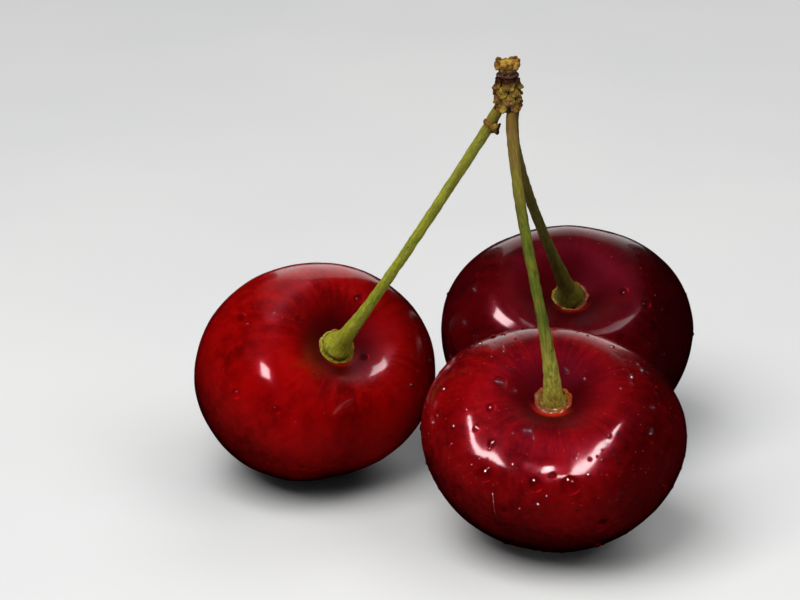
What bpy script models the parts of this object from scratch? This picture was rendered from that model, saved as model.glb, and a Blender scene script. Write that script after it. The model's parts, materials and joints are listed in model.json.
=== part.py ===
"""Three sweet cherries on one spur, standing on a surface on the small flat spots of their fruits.

The frame: +Z is up, -Y is the front, and the origin is on the surface, under the middle of the cluster's box.
Every length is written in millimetres and multiplied by MM, so that the scene is in metres.
"""
import math

import bmesh
import bpy
from mathutils import Matrix, Vector

MM = 0.001

# The fruits. Width is across the two shoulders, thickness runs through the suture, and height is along the
# core. place is where the middle of the core stands on the surface, and the whole cluster is centred at the
# end. lean_to turns the stem end round Z from the front towards +X, core_rise is the stem end's angle above
# the horizon, and roll turns the fruit about its own core.
FRUITS = {
    "front": dict(width=27.0, thickness=22.5, height=23.7, place=(-0.1, 0.4), lean_to=-4.0, core_rise=60.0,
                  roll=-8.5, taper=0.10, shoulders=0.65, high_shoulder=0.4, colour=(0.30, 0.004, 0.012)),
    "left": dict(width=26.3, thickness=23.1, height=23.6, place=(-25.1, 17.0), lean_to=33.0, core_rise=46.0,
                 roll=-3.0, taper=0.14, shoulders=0.1, high_shoulder=-0.2, colour=(0.52, 0.004, 0.004)),
    "back": dict(width=27.4, thickness=24.0, height=24.6, place=(2.4, 24.7), lean_to=1.0, core_rise=59.0,
                 roll=3.0, taper=0.09, shoulders=0.65, high_shoulder=-0.2, colour=(0.20, 0.002, 0.008)),
}
SEGMENTS = 40
RINGS = 24
CAVITY_SHARE = 0.208  # how far the stem cavity sinks, as a share of the fruit's height
CAVITY_REACH = 0.385  # the cavity's radius, as a share of half the width
SUTURE_DEPTH = 0.22 * MM
SUTURE_HALF_ANGLE = math.radians(9)
SCAR_DEPTH = 0.35 * MM
SCAR_REACH = 0.12
FLAT_DEPTH = 0.12 * MM  # how much the fruit's own weight has pressed in where it stands

# The stems, from the foot in the cavity to the spur.
FOOT_GAP = 0.42 * MM
STEM_POINTS = 26
STEM_SIDES = 4  # bevel_resolution: twelve sides round the stem
# distance from the foot against radius: a flared foot that sits on the fruit, then a slim stem
FOOT_SHAPE = (
    (0.0, 1.0),
    (0.35, 1.6),
    (0.75, 1.85),
    (1.15, 1.5),
    (1.8, 1.02),
    (4.0, 0.82),
    (7.0, 0.68),
    (12.0, 0.55),
)
FOOT_SHARES = (0.0, 0.012, 0.028, 0.05)  # close steps in the flared foot, even ones above it
TOP_RADIUS = 0.60
MIDDLE_RADIUS = 0.55
TOP_SWELL = 5.0 * MM
# socket is where the stem meets the spur's underside, from the spur's middle. rise is how far the stem follows
# the fruit's core, and drop how far it follows fall, its direction as it leaves the spur.
STEMS = {
    "front": dict(socket=(0.25, -0.75), rise=10.5, drop=11.3, fall=(0.05, -0.12, -1.0)),
    "left": dict(socket=(-0.95, 0.10), rise=11.5, drop=10.5, fall=(-0.54, 0.25, -1.0)),
    "back": dict(socket=(0.60, 0.55), rise=2.0, drop=8.0, fall=(-0.14, 0.56, -1.0)),
}

# The woody spur that the three stems grow from, its bud scales and its torn top.
SPUR_FOOT = Vector((-5.2, -2.0, 48.1)) * MM  # the middle of the spur's underside
SPUR_LEAN = (math.radians(-3.0), math.radians(-1.5), 0.0)
SPUR_GAP = 0.2 * MM
# radius against height: a slim core, a bare ring where older scales have dropped off, and a blunt top
SPUR_PROFILE = (
    (0.86, 0.0),
    (0.90, 0.4),
    (0.90, 3.3),
    (1.12, 3.45),
    (1.12, 3.65),
    (0.90, 3.8),
    (0.90, 4.5),
    (0.70, 5.0),
)
SPUR_STEPS = 20
SCALE_THICK = 0.16 * MM
SCALE_GRID = 4
# The bud scales hang in even rows. Each starts on the core at its base and covers the top of the row below.
SCALE_ROWS = 4
SCALES_IN_ROW = 5
FIRST_BASE = 1.20
FIRST_TURN = 20.0
ROW_PITCH = 0.70
SCALE = dict(length=1.05, half_width=0.60, radius=0.98, flare=0.38)
# The torn pieces at the top stand up, so their length is counted downwards from the base.
LOW_CROWN_BASE = 3.86
LOW_CROWN = dict(length=-0.56, half_width=0.50, radius=0.98, flare=0.24)
HIGH_CROWN_BASE = 4.50
HIGH_CROWN = dict(length=-1.0, half_width=0.48, radius=1.04, flare=0.22)
BRACT = dict(length=1.0, half_width=0.62, radius=0.70, flare=0.30)
BRACT_BELOW_TOP = 0.9 * MM
BRACT_TURN = 250.0


def clear_scene():
    for old in list(bpy.data.objects):
        bpy.data.objects.remove(old, do_unlink=True)


def material(name, colour, roughness):
    made = bpy.data.materials.new(name)
    made.use_nodes = True
    shader = made.node_tree.nodes["Principled BSDF"]
    shader.inputs["Base Color"].default_value = (*colour, 1.0)
    shader.inputs["Roughness"].default_value = roughness
    shader.inputs["Metallic"].default_value = 0.0
    return made


def place_object(name, data, cluster, finish):
    made = bpy.data.objects.new(name, data)
    data.materials.append(finish)
    bpy.data.collections["cherry_cluster"].objects.link(made)
    made.parent = cluster
    return made


# ---- fruits


def fruit_turn(shape):
    """Turns a fruit's own axes (X across the shoulders, Z up the core) into the cluster's."""
    lean, rise = math.radians(shape["lean_to"]), math.radians(shape["core_rise"])
    core = Vector((math.sin(lean) * math.cos(rise), -math.cos(lean) * math.cos(rise), math.sin(rise)))
    across = Vector((math.cos(lean), math.sin(lean), 0.0))
    across = Matrix.Rotation(math.radians(shape["roll"]), 3, core) @ across
    return Matrix((across, core.cross(across), core)).transposed()


def fruit_point(shape, unit):
    """Moves a point of a unit sphere onto the fruit, with its shoulders, narrow tip, cavity and suture."""
    round_core = math.hypot(unit.x, unit.y)
    girth = 1.0 + shape["taper"] * unit.z
    half_width = shape["width"] / 2 * MM
    point = Vector((
        unit.x * girth * half_width,
        unit.y * girth * shape["thickness"] / 2 * MM,
        unit.z * shape["height"] / 2 * MM,
    ))
    if unit.z > 0:
        from_core = round_core * girth / CAVITY_REACH
        point.z -= CAVITY_SHARE * shape["height"] * MM * math.exp(-from_core ** 2)
    else:
        point.z += SCAR_DEPTH * math.exp(-(round_core / SCAR_REACH) ** 2)
    point.z += shape["shoulders"] * MM * (unit.x ** 2 - unit.y ** 2)
    point.z += shape["high_shoulder"] * MM * unit.x * round_core
    if unit.y < 0:
        off_suture = math.atan2(unit.x, -unit.y) / SUTURE_HALF_ANGLE
        point.y += SUTURE_DEPTH * round_core * math.exp(-off_suture ** 2)
    return point


def cut_flat(mesh, down, lowest):
    """Cuts the mesh flat just above its lowest point along down, and closes the cut with one face."""
    at = down * (lowest - FLAT_DEPTH)
    whole = mesh.verts[:] + mesh.edges[:] + mesh.faces[:]
    cut = bmesh.ops.bisect_plane(mesh, geom=whole, plane_co=at, plane_no=down, clear_outer=True)
    rim = [edge for edge in cut["geom_cut"] if isinstance(edge, bmesh.types.BMEdge)]
    bmesh.ops.holes_fill(mesh, edges=rim)


def make_fruit(name, shape, cluster):
    """Makes one fruit that stands on Z 0, and returns its core's direction and the cavity's lowest point."""
    turn = fruit_turn(shape)
    mesh = bmesh.new()
    bmesh.ops.create_uvsphere(mesh, u_segments=SEGMENTS, v_segments=RINGS, radius=1.0)
    for vertex in mesh.verts:
        vertex.co = fruit_point(shape, vertex.co.copy())
    down = turn.transposed() @ Vector((0.0, 0.0, -1.0))
    lowest = max(vertex.co.dot(down) for vertex in mesh.verts)
    cut_flat(mesh, down, lowest)
    bmesh.ops.recalc_face_normals(mesh, faces=mesh.faces)
    data = bpy.data.meshes.new(name)
    mesh.to_mesh(data)
    mesh.free()
    data.shade_smooth()
    skin = material(name + "_skin", shape["colour"], 0.18)
    fruit = place_object(name, data, cluster, skin)
    fruit.rotation_euler = turn.to_euler()
    fruit.location = Vector((shape["place"][0] * MM, shape["place"][1] * MM, lowest - FLAT_DEPTH))
    cavity = fruit_point(shape, Vector((0.0, 0.0, 1.0)))
    return turn.col[2].copy(), fruit.location + turn @ cavity


# ---- stems


def curve_point(corners, share):
    """A point of the cubic Bezier curve with these four corners."""
    near, far = 1.0 - share, share
    weights = (near ** 3, 3 * near ** 2 * far, 3 * near * far ** 2, far ** 3)
    return sum((corner * weight for corner, weight in zip(corners, weights)), Vector())


def stem_radius(from_foot, to_top):
    """The stem's radius at this distance from its foot and from its top."""
    steps = [(far * MM, radius) for far, radius in FOOT_SHAPE]
    radius = MIDDLE_RADIUS
    for (near, first), (far, second) in zip(steps, steps[1:]):
        if near <= from_foot <= far:
            radius = first + (second - first) * (from_foot - near) / (far - near)
    swell = max(0.0, 1.0 - to_top / TOP_SWELL)
    return (radius + (TOP_RADIUS - MIDDLE_RADIUS) * swell) * MM


def stem_corners(shape, core, cavity, spur):
    """The corners of the stem's curve: it leaves along the fruit's core and ends under its socket."""
    foot = cavity + core * FOOT_GAP
    socket = Vector((shape["socket"][0] * MM, shape["socket"][1] * MM, -SPUR_GAP))
    top = spur @ socket
    fall = Vector(shape["fall"]).normalized()
    return foot, foot + core * shape["rise"] * MM, top + fall * shape["drop"] * MM, top


def make_stem(name, corners, cluster, finish):
    """Makes one stem as a bevelled curve whose radius swells at the foot, and returns its points."""
    even = STEM_POINTS - len(FOOT_SHARES)
    last = FOOT_SHARES[-1]
    shares = list(FOOT_SHARES) + [last + (1.0 - last) * n / even for n in range(1, even + 1)]
    points = [curve_point(corners, share) for share in shares]
    runs = [0.0]
    for before, after in zip(points, points[1:]):
        runs.append(runs[-1] + (after - before).length)
    curve = bpy.data.curves.new(name, "CURVE")
    curve.dimensions = "3D"
    curve.bevel_depth = 1.0
    curve.bevel_resolution = STEM_SIDES
    curve.use_fill_caps = True
    spline = curve.splines.new("POLY")
    spline.points.add(len(points) - 1)
    for knot, point, run in zip(spline.points, points, runs):
        knot.co = (*point, 1.0)
        knot.radius = stem_radius(run, runs[-1] - run)
    place_object(name, curve, cluster, finish)
    return points


# ---- spur and scales


def make_spur(cluster, finish):
    """Turns the woody core of the spur round its own Z, and returns the object."""
    mesh = bmesh.new()
    outline = [(0.0, SPUR_PROFILE[-1][1])] + list(reversed(SPUR_PROFILE)) + [(0.0, SPUR_PROFILE[0][1])]
    corners = [mesh.verts.new((radius * MM, 0.0, height * MM)) for radius, height in outline]
    for above, below in zip(corners, corners[1:]):
        mesh.edges.new((above, below))
    data = bpy.data.meshes.new("spur")
    mesh.to_mesh(data)
    mesh.free()
    spur = place_object("spur", data, cluster, finish)
    turned = spur.modifiers.new("turned", "SCREW")
    turned.steps = turned.render_steps = SPUR_STEPS
    turned.use_merge_vertices = True
    turned.merge_threshold = 0.00001
    spur.location = SPUR_FOOT
    spur.rotation_euler = SPUR_LEAN
    return spur


def make_scale(name, parent, finish, base, angle, length, half_width, radius, flare):
    """A small curled scale on a round core: a grid bent round the core's Z, then given its thickness.
    It starts at height base, at angle degrees round the core, and flares away from it along its length."""
    mesh = bmesh.new()
    bmesh.ops.create_grid(mesh, x_segments=SCALE_GRID, y_segments=SCALE_GRID, size=1.0)
    for vertex in mesh.verts:
        across, along = vertex.co.x, (vertex.co.y + 1.0) / 2
        # widest a third of the way along, and a blunt tip
        half = half_width * (0.35 + 0.65 * math.sin(math.pi * (0.22 + 0.70 * along)))
        out = radius + flare * along ** 1.5 - 0.05 * across ** 2 * along
        bend = math.radians(angle) + across * half / radius
        vertex.co = Vector((math.cos(bend) * out, math.sin(bend) * out, base - length * along)) * MM
    bmesh.ops.recalc_face_normals(mesh, faces=mesh.faces)
    outward = Vector((math.cos(math.radians(angle)), math.sin(math.radians(angle)), 0.0))
    if sum((face.normal * face.calc_area() for face in mesh.faces), Vector()).dot(outward) < 0:
        bmesh.ops.reverse_faces(mesh, faces=mesh.faces)
    data = bpy.data.meshes.new(name)
    mesh.to_mesh(data)
    mesh.free()
    scale = place_object(name, data, parent, finish)
    shell = scale.modifiers.new("thickness", "SOLIDIFY")
    shell.thickness = SCALE_THICK
    shell.offset = 1.0
    return scale


def make_scales(spur, finish):
    """Rows of overlapping scales down the spur, and torn ones that stand up at its top."""
    step = 360.0 / SCALES_IN_ROW
    for row in range(SCALE_ROWS):
        first = FIRST_TURN + step / 2 * (row % 2)
        for n in range(SCALES_IN_ROW):
            name = f"bud_scale_{row + 1}_{n + 1}"
            make_scale(name, spur, finish, FIRST_BASE + ROW_PITCH * row, first + step * n, **SCALE)
    for n in range(5):
        make_scale(f"crown_low_{n + 1}", spur, finish, LOW_CROWN_BASE, 40.0 + 72.0 * n, **LOW_CROWN)
    for n in range(4):
        make_scale(f"crown_high_{n + 1}", spur, finish, HIGH_CROWN_BASE, 55.0 + 90.0 * n, **HIGH_CROWN)


def make_bract(cluster, points, finish):
    """The small bract that clasps the left stem a little below the spur."""
    top, below = points[-1], points[-4]
    downwards = (below - top).normalized()
    bract = make_scale("left_bract", cluster, finish, 0.0, BRACT_TURN, **BRACT)
    bract.rotation_euler = downwards.to_track_quat("-Z", "Y").to_euler()
    bract.location = top + downwards * BRACT_BELOW_TOP


# ---- the cluster


def centre_on_origin(cluster, nodes):
    """Moves the cluster so that its box stands on the surface with its middle over the origin."""
    bpy.context.view_layer.update()
    graph = bpy.context.evaluated_depsgraph_get()
    corners = []
    for node in nodes:
        made = node.evaluated_get(graph)
        mesh = made.to_mesh()
        corners += [made.matrix_world @ vertex.co for vertex in mesh.vertices]
        made.to_mesh_clear()
    for axis in (0, 1):
        values = [corner[axis] for corner in corners]
        cluster.location[axis] = -(min(values) + max(values)) / 2
    cluster.location.z = -min(corner.z for corner in corners)
    bpy.context.view_layer.update()


def build():
    clear_scene()
    collection = bpy.data.collections.new("cherry_cluster")
    bpy.context.scene.collection.children.link(collection)
    cluster = bpy.data.objects.new("cluster", None)
    collection.objects.link(cluster)
    green = material("stem_green", (0.23, 0.27, 0.03), 0.45)
    bark = material("spur_bark", (0.16, 0.08, 0.02), 0.75)
    husk = material("bud_scale", (0.42, 0.27, 0.06), 0.65)
    spur = make_spur(cluster, bark)
    spur_frame = Matrix.LocRotScale(spur.location, spur.rotation_euler, None)
    for side, shape in FRUITS.items():
        core, cavity = make_fruit(f"cherry_{side}", shape, cluster)
        corners = stem_corners(STEMS[side], core, cavity, spur_frame)
        points = make_stem(f"stem_{side}", corners, cluster, green)
        if side == "left":
            make_bract(cluster, points, husk)
    make_scales(spur, husk)
    centre_on_origin(cluster, [node for node in collection.objects if node.type != "EMPTY"])


build()
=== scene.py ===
# %% [markdown]
# # Three sweet cherries on one spur
#
# This lesson finishes a small cluster of ripe cherries: three glossy fruits, their stems, the scaly woody
# spur that they grew from, and the drops of water left on them. The plain solids were made and measured
# before, and they are loaded here as a fixed frame. Everything in this file is built around them, at their
# size and place.
#
# The work goes from large to small: camera and light first, because gloss is nothing but what it reflects,
# then the fruits, the stems, the spur, and the water last of all, because it has to sit on finished skin.

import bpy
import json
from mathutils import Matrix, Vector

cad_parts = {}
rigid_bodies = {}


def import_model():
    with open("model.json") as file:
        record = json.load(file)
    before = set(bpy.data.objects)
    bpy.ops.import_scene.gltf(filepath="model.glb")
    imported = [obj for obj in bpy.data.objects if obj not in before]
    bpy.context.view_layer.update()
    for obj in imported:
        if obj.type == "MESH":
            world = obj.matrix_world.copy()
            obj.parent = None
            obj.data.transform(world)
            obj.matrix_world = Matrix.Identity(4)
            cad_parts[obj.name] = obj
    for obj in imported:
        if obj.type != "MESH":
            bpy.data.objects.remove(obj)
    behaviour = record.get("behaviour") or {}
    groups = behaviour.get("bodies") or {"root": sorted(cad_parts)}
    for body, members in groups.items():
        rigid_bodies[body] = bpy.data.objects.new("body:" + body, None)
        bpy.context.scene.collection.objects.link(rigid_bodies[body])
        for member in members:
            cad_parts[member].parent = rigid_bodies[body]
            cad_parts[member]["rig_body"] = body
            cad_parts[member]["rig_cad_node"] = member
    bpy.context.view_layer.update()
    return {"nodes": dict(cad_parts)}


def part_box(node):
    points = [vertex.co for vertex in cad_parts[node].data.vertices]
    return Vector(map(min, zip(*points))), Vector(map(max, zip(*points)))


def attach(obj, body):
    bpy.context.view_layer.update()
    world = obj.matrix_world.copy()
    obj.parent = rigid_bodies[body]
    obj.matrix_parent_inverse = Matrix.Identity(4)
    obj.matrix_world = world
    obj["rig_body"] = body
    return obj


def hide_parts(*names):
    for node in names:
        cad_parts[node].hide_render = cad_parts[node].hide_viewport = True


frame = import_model()
print("nodes:", len(frame["nodes"]))

# %% [markdown]
# ## Helpers
#
# Blender's operators act on whatever is selected, so each step starts by selecting one piece and nothing
# else. A finished piece has its place in its mesh, with its object at the origin, so that its patterns
# agree on where it is.

# %% Helpers for pieces
import json
import math
import random

import bpy
from mathutils import Euler, Matrix, Vector
from mathutils.bvhtree import BVHTree

MM = 0.001


def select_only(*pieces):
    """Makes these pieces the only selected ones, and the first of them active."""
    bpy.ops.object.select_all(action="DESELECT")
    for piece in pieces:
        piece.select_set(True)
    bpy.context.view_layer.objects.active = pieces[0]


def modify(piece, kind, **settings):
    """Adds one modifier to the piece and applies it."""
    select_only(piece)
    modifier = piece.modifiers.new(kind.title(), kind)
    for setting, value in settings.items():
        setattr(modifier, setting, value)
    bpy.ops.object.modifier_apply(modifier=modifier.name)


def smooth(piece, levels, kind="CATMULL_CLARK"):
    """Subdivides the piece this many times."""
    modify(piece, "SUBSURF", subdivision_type=kind, levels=levels, render_levels=levels)


def lump_field(name, size, depth):
    """A field of soft lumps that stands still in space, with lumps of about this size in millimetres."""
    field = bpy.data.textures.new(name, "CLOUDS")
    field.noise_scale = size * MM
    field.noise_depth = depth
    return field


def roughen(piece, field, height, mid_level=0.5):
    """Displaces the piece's surface by a field of lumps. Values above mid_level go outwards."""
    modify(piece, "DISPLACE", texture=field, texture_coords="GLOBAL", strength=height, mid_level=mid_level)


def hand_over(piece, finish, slot, *nodes):
    """Sets the piece's place into its mesh, gives it its finish and lets it ride on the cluster."""
    select_only(piece)
    bpy.ops.object.transform_apply(location=True, rotation=True, scale=True)
    bpy.ops.object.shade_smooth()
    piece.data.materials.clear()
    piece.data.materials.append(finish)
    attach(piece, "root")
    if nodes:
        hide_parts(*nodes)
    return piece


def middle(node):
    """The middle of a node's box."""
    low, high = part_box(node)
    return (low + high) / 2


# %% Helpers for finishes
def new_finish(name):
    """A new material, with its node tree and its Principled shader."""
    finish = bpy.data.materials.new(name)
    finish.use_nodes = True
    return finish, finish.node_tree, finish.node_tree.nodes["Principled BSDF"]


def add(tree, kind, inputs=(), **settings):
    """Adds a node. Each input is either a number or colour, or another node's output that feeds it."""
    made = tree.nodes.new("ShaderNode" + kind)
    for setting, value in settings.items():
        setattr(made, setting, value)
    for socket, value in dict(inputs).items():
        if isinstance(value, bpy.types.NodeSocket):
            tree.links.new(value, made.inputs[socket])
        else:
            made.inputs[socket].default_value = value
    return made


def maths(tree, operation, first, second=0.0):
    """One sum: the operation is named as in Blender's Math node."""
    return add(tree, "Math", {0: first, 1: second}, operation=operation).outputs[0]


def mix(tree, share, first, second, how="MIX"):
    """Mixes two colours. In the Mix node they are inputs 6 and 7, and the mixed colour is output 2."""
    colours = {0: share, 6: first, 7: second}
    return add(tree, "Mix", colours, data_type="RGBA", blend_type=how, clamp_factor=True).outputs[2]


def ramp(tree, share, *stops):
    """A colour ramp through these stops, each a place from 0 to 1 and a colour."""
    made = add(tree, "ValToRGB", {"Fac": share})
    elements = made.color_ramp.elements
    for element, (place, colour) in zip((elements[0], elements[-1]), (stops[0], stops[-1])):
        element.position = place
        element.color = (*colour, 1.0)
    for place, colour in stops[1:-1]:
        elements.new(place).color = (*colour, 1.0)
    return made.outputs["Color"]


def level(tree, value, low, high):
    """Spreads values from low to high over 0 to 1, smoothly, and clamps the rest. low may be above high."""
    inputs = {"Value": value, "From Min": low, "From Max": high}
    return add(tree, "MapRange", inputs, interpolation_type="SMOOTHSTEP").outputs[0]


def noise(tree, vector, scale, detail=3.0, roughness=0.5):
    """Cloudy noise around 0.5, with about this many lumps to a unit of the vector."""
    inputs = {"Vector": vector, "Scale": scale, "Detail": detail, "Roughness": roughness}
    return add(tree, "TexNoise", inputs).outputs["Fac"]


def own_axes(tree, place, turn, scale=(MM, MM, MM)):
    """Coordinates in millimetres on axes that start at place and are turned like the piece."""
    where = add(tree, "TexCoord").outputs["Object"]
    inputs = {"Vector": where, "Location": place, "Rotation": turn, "Scale": scale}
    return add(tree, "Mapping", inputs, vector_type="TEXTURE").outputs[0]


# %% [markdown]
# ## Camera
#
# A long lens a good way off keeps the fruits in their true proportions. It looks down a little, so that the
# stem cavities show, and it aims just left of the middle, which gives the high thin spur some room.

# %% Camera
CAMERA_TILT = math.radians(23.67)
CAMERA_DISTANCE = 0.3296
CAMERA_AIM = Vector((-0.0050, 0.0, 0.0218))

lens = bpy.data.cameras.new("long_lens")
lens.lens = 143.2
lens.sensor_width = 36.0
lens.clip_start = 0.01
lens.clip_end = 20.0
camera = bpy.data.objects.new("camera", lens)
bpy.context.scene.collection.objects.link(camera)
backwards = Vector((0.0, -math.cos(CAMERA_TILT), math.sin(CAMERA_TILT)))
camera.location = CAMERA_AIM + backwards * CAMERA_DISTANCE
camera.rotation_euler = (math.pi / 2 - CAMERA_TILT, 0.0, 0.0)
bpy.context.scene.camera = camera
print("camera at", [round(value, 4) for value in camera.location])

# %% [markdown]
# ## Floor and light
#
# A plain pale floor and a dim, even sky. Glossy skin shows every lamp as a highlight of its own, so the
# work is split, as in a studio with flags and polarisers. Three wide soft boxes light the colours and stay
# out of the reflections. Narrow boxes do the opposite: each one draws a single highlight on a single fruit,
# and is told at the end of the lesson which pieces it shines on.

# %% Floor and light
LIGHT_AIM = Vector((0.0, 0.0, 0.015))
# name, degrees round from the front (right is positive), degrees up, slant, width, height, brightness
COLOUR_BOXES = (
    ("key_box", -38.0, 60.0, 0.0, 0.30, 0.30, 9.2),
    ("fill_box", 60.0, 55.0, 0.0, 0.30, 0.30, 3.0),
    ("rear_box", 170.0, 40.0, 0.0, 0.30, 0.30, 2.0),
)
GLOSS_BOXES = (
    ("front_left_arc", -50.0, 26.0, 22.0, 0.045, 0.36, 42.0),
    ("front_spot", -14.0, 19.0, 0.0, 0.045, 0.070, 52.0),
    ("front_right_arc", 11.0, 38.0, -15.0, 0.045, 0.48, 42.0),
    ("front_low", -3.0, 5.0, 0.0, 0.080, 0.035, 36.0),
    ("left_cheek", -20.0, 41.0, 0.0, 0.065, 0.110, 36.0),
    ("left_shoulder", 145.0, 78.0, 35.0, 0.100, 0.150, 34.0),
    ("back_cheek", -52.0, 57.0, 0.0, 0.120, 0.130, 36.0),
    ("back_shoulder", 35.0, 70.0, 40.0, 0.140, 0.190, 9.0),
    ("rear_rims", 176.0, 29.0, 0.0, 0.26, 0.42, 1.1),
    ("water_glints", -32.0, 52.0, 0.0, 0.130, 0.130, 70.0),
    ("water_sparks", 24.0, 34.0, 0.0, 0.060, 0.060, 70.0),
)
BOX_DISTANCE = 0.42
FLOOR_SIZE = 6.0
SKY_STRENGTH = 0.16

bpy.ops.mesh.primitive_plane_add(size=FLOOR_SIZE)
floor = bpy.context.active_object
floor.name = "floor"
paint, tree, shader = new_finish("pale_floor")
where = add(tree, "TexCoord").outputs["Object"]
cloudy = ramp(tree, noise(tree, where, 14.0), (0.35, (0.50, 0.50, 0.50)), (0.65, (0.53, 0.53, 0.52)))
tree.links.new(cloudy, shader.inputs["Base Color"])
shader.inputs["Roughness"].default_value = 0.7
floor.data.materials.append(paint)
floor.visible_glossy = False
floor.visible_transmission = False


def soft_box(name, round_degrees, up_degrees, slant, width, height, brightness):
    """A rectangular lamp aimed at the fruits, whose brightness doesn't change with its size."""
    box = bpy.data.lights.new(name, "AREA")
    box.shape = "RECTANGLE"
    box.size = width
    box.size_y = height
    box.energy = brightness * math.pi * width * height
    lamp = bpy.data.objects.new(name, box)
    bpy.context.scene.collection.objects.link(lamp)
    around, up = math.radians(round_degrees), math.radians(up_degrees)
    towards = Vector((math.sin(around) * math.cos(up), -math.cos(around) * math.cos(up), math.sin(up)))
    lamp.location = LIGHT_AIM + towards * BOX_DISTANCE
    facing = towards.to_track_quat("Z", "Y").to_matrix()
    lamp.rotation_euler = (facing @ Matrix.Rotation(math.radians(slant), 3, "Z")).to_euler()
    lamp.visible_transmission = False
    return lamp


for box in COLOUR_BOXES:
    soft_box(*box).visible_glossy = False
gloss_lamps = {}
for box in GLOSS_BOXES:
    gloss_lamps[box[0]] = soft_box(*box)
    gloss_lamps[box[0]].visible_diffuse = False

sky = bpy.data.worlds.new("dim_sky")
sky.use_nodes = True
sky.node_tree.nodes["Background"].inputs["Color"].default_value = (0.85, 0.88, 0.93, 1.0)
sky.node_tree.nodes["Background"].inputs["Strength"].default_value = SKY_STRENGTH
sky.cycles_visibility.glossy = False
sky.cycles_visibility.transmission = False
bpy.context.scene.world = sky
bpy.context.scene.view_settings.view_transform = "Standard"
print("boxes for colour:", len(COLOUR_BOXES), "and for gloss:", len(GLOSS_BOXES))

# %% [markdown]
# ## The fruits' own axes
#
# A cherry is described round its core, the line from the stem cavity to the scar at the tip. Each fruit
# leans its own way, so a small matrix turns core directions into the cluster's. It serves for sculpting,
# for the patterns in the skin and for setting drops on it.

# %% Axes of a fruit
# off_middle is where the middle of the core lies, in millimetres from the middle of the fruit's box
LEANS = {
    "front": dict(lean_to=-4.0, core_rise=60.0, roll=-8.5, off_middle=(0.08, 0.27, 0.04)),
    "left": dict(lean_to=33.0, core_rise=46.0, roll=-3.0, off_middle=(-0.46, 0.63, -0.51)),
    "back": dict(lean_to=1.0, core_rise=59.0, roll=3.0, off_middle=(0.03, 0.13, 0.06)),
}


# the middle of each fruit's core
hearts = {side: middle(f"cherry_{side}") + Vector(lean["off_middle"]) * MM for side, lean in LEANS.items()}


def fruit_turn(side):
    """Turns a fruit's axes (X across the shoulders, -Y to the suture, Z up the core) into the cluster's."""
    lean, rise = math.radians(LEANS[side]["lean_to"]), math.radians(LEANS[side]["core_rise"])
    core = Vector((math.sin(lean) * math.cos(rise), -math.cos(lean) * math.cos(rise), math.sin(rise)))
    level_line = Vector((math.cos(lean), math.sin(lean), 0.0))
    across = Matrix.Rotation(math.radians(LEANS[side]["roll"]), 3, core) @ level_line
    return Matrix((across, core.cross(across), core)).transposed()


def fruit_direction(side, turn, tilt):
    """A direction from the fruit's heart: turn degrees round from the suture, tilt degrees from the stem."""
    turn, tilt = math.radians(turn), math.radians(tilt)
    flat = math.sin(tilt)
    return fruit_turn(side) @ Vector((flat * math.sin(turn), -flat * math.cos(turn), math.cos(tilt)))


for side in LEANS:
    print(side, "core points", [round(value, 2) for value in fruit_direction(side, 0, 0)])

# %% [markdown]
# ## The fruits
#
# A cherry's skin is one closed, taut surface, so the best start is the measured solid itself: a merged copy
# has the right size, place, cavity and flat spot. It is coarse, so it is sculpted a little while it has few
# points, with proportional editing, and then subdivided until no facet shows. A last displacement
# gives the skin the slight unevenness that makes its highlights wander, as they do on real fruit.


# %% Copying and sculpting
MERGE_DISTANCE = 0.02 * MM
FLAT_SPOT_INSET = 0.3 * MM


def copy_of(node, name):
    """A merged copy of a node, free to be shaped, with its triangles paired into four-sided faces again."""
    select_only(frame["nodes"][node])
    bpy.ops.object.duplicate()
    piece = bpy.context.active_object
    piece.name = piece.data.name = name
    piece.parent = None
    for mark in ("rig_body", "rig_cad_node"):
        del piece[mark]
    bpy.ops.object.mode_set(mode="EDIT")
    bpy.ops.mesh.select_all(action="SELECT")
    bpy.ops.mesh.remove_doubles(threshold=MERGE_DISTANCE)
    pairing = math.radians(60)
    bpy.ops.mesh.tris_convert_to_quads(face_threshold=pairing, shape_threshold=pairing)
    bpy.ops.mesh.customdata_custom_splitnormals_clear()
    bpy.ops.mesh.select_all(action="DESELECT")
    bpy.ops.object.mode_set(mode="OBJECT")
    return piece


def push(piece, at, by, reach):
    """Moves the point of the mesh nearest to at, and takes the surface around it along, less and less."""
    select_only(piece)
    nearest = min(piece.data.vertices, key=lambda vertex: (vertex.co - at).length)
    nearest.select = True
    bpy.ops.object.mode_set(mode="EDIT")
    bpy.ops.mesh.select_mode(type="VERT")
    bpy.ops.transform.translate(
        value=by,
        use_proportional_edit=True,
        proportional_edit_falloff="SMOOTH",
        proportional_size=reach,
    )
    bpy.ops.mesh.select_all(action="DESELECT")
    bpy.ops.object.mode_set(mode="OBJECT")


def keep_flat_spot(piece):
    """Joins the faces that the fruit stands on into one and insets it, so that smoothing leaves it flat."""
    select_only(piece)
    for face in piece.data.polygons:
        face.select = face.normal.z < -0.999 and face.center.z < 0.01 * MM
    bpy.ops.object.mode_set(mode="EDIT")
    bpy.ops.mesh.select_mode(type="FACE")
    bpy.ops.mesh.dissolve_faces()
    bpy.ops.mesh.inset(thickness=FLAT_SPOT_INSET)
    bpy.ops.mesh.select_all(action="DESELECT")
    bpy.ops.object.mode_set(mode="OBJECT")


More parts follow.
